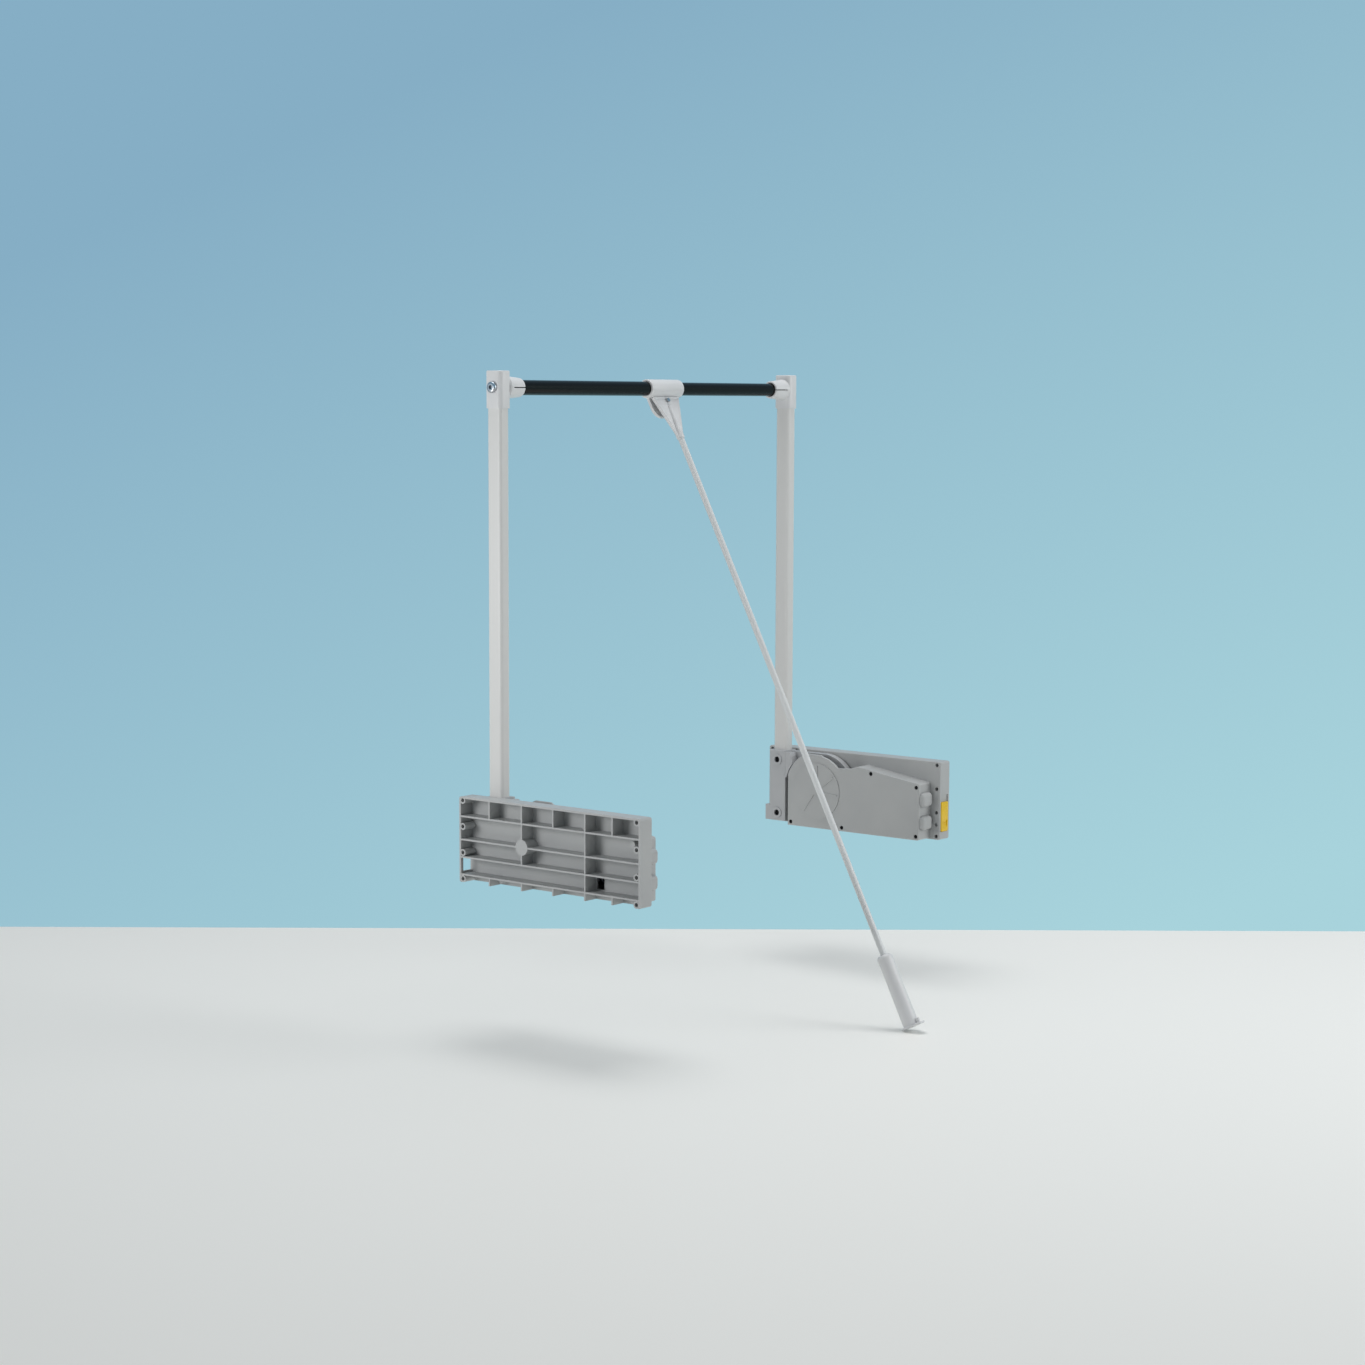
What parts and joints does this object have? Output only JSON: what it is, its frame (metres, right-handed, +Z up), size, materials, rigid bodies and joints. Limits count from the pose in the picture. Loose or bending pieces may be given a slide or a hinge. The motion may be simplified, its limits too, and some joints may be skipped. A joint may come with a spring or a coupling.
{
  "type": "wardrobe lift",
  "caption": "Wardrobe lift: spring-balanced arms on side housings carry a telescopic hanging rail, brought down and forward by a pull rod.",
  "frame": {"origin": "centre of the left housing's wall screw pattern, on its wall face", "axes": "+X from the left wall to the right wall, -Y to the front of the wardrobe, +Z up"},
  "size_m": [0.654, 0.4463, 0.8026],
  "materials": {
    "housing_grey": "matte",
    "lever_grey": "matte",
    "arm_grey": "satin",
    "connector_grey": "satin",
    "rail_black": "gloss",
    "plated_steel": "plated",
    "black_screw": "blackened",
    "spring_steel": "oiled",
    "slide_nylon": "matte",
    "rod_grey": "satin",
    "selector_yellow": "gloss"
  },
  "bodies": {
    "left_unit": {"base_left": "housing_grey", "cover_left": "housing_grey", "cover_screws_left": "black_screw", "pivot_shaft_left": "plated_steel", "spring_guides_left": "plated_steel", "springs_left": "spring_steel"},
    "right_unit": {"base_right": "housing_grey", "cover_right": "housing_grey", "cover_screws_right": "black_screw", "pivot_shaft_right": "plated_steel", "spring_guides_right": "plated_steel", "springs_right": "spring_steel"},
    "left_arm_frame": {"lever_left": "lever_grey", "pivot_bush_left": "slide_nylon", "pinion_left": "plated_steel", "arm_tube_left": "arm_grey", "clamp_screws_left": "black_screw", "corner_connector_left": "connector_grey", "connector_bolt_left": "plated_steel", "rail_plug_left": "plated_steel", "rail_outer_tube": "rail_black"},
    "right_arm_frame": {"lever_right": "lever_grey", "pivot_bush_right": "slide_nylon", "pinion_right": "plated_steel", "arm_tube_right": "arm_grey", "clamp_screws_right": "black_screw", "corner_connector_right": "connector_grey", "connector_bolt_right": "plated_steel", "rail_plug_right": "plated_steel", "rail_inner_tube": "rail_black"},
    "left_pusher": {"rack_left": "plated_steel", "spring_yoke_left": "slide_nylon"},
    "right_pusher": {"rack_right": "plated_steel", "spring_yoke_right": "slide_nylon"},
    "rod_assembly": {"rail_collar": "connector_grey", "rod_head": "connector_grey", "head_pin": "plated_steel", "pull_rod": "rod_grey", "handle_grip": "connector_grey", "handle_flange": "connector_grey"},
    "selector": {"force_selector": "selector_yellow"}
  },
  "joints": [
    {"name": "width_adjust", "type": "slide", "parent": "left_unit", "child": "right_unit", "axis": [1, 0, 0], "range_m": [-0.054, 0.096]},
    {"name": "arm_swing_left", "type": "hinge", "parent": "left_unit", "child": "left_arm_frame", "pos_m": [0.0355, 0.041, 0], "axis": [1, 0, 0], "range_deg": [0, 100], "stiffness_Nm_per_rad": 12, "springref_deg": -34.38},
    {"name": "arm_swing_right", "type": "hinge", "parent": "right_unit", "child": "right_arm_frame", "pos_m": [0.6185, 0.041, 0], "axis": [1, 0, 0], "range_deg": [0, 100], "stiffness_Nm_per_rad": 12, "springref_deg": -34.38},
    {"name": "pusher_left", "type": "slide", "parent": "left_unit", "child": "left_pusher", "axis": [0, -1, 0], "range_m": [0, 0.035], "deforming": ["springs_left"]},
    {"name": "pusher_right", "type": "slide", "parent": "right_unit", "child": "right_pusher", "axis": [0, -1, 0], "range_m": [0, 0.035], "deforming": ["springs_right"]},
    {"name": "rod_swing", "type": "hinge", "parent": "left_arm_frame", "child": "rod_assembly", "pos_m": [0.3475, 0.10775, 0.545], "axis": [1, 0, 0], "range_deg": [-120, 25]},
    {"name": "selector_slide", "type": "slide", "parent": "right_unit", "child": "selector", "axis": [0, 0, 1], "range_m": [0, 0.009]}
  ],
  "couplings": [
    {"joint": "arm_swing_right", "follows": "arm_swing_left", "ratio": 1},
    {"joint": "pusher_left", "follows": "arm_swing_left", "m_per_rad": 0.02},
    {"joint": "pusher_right", "follows": "arm_swing_left", "m_per_rad": 0.02}
  ]
}
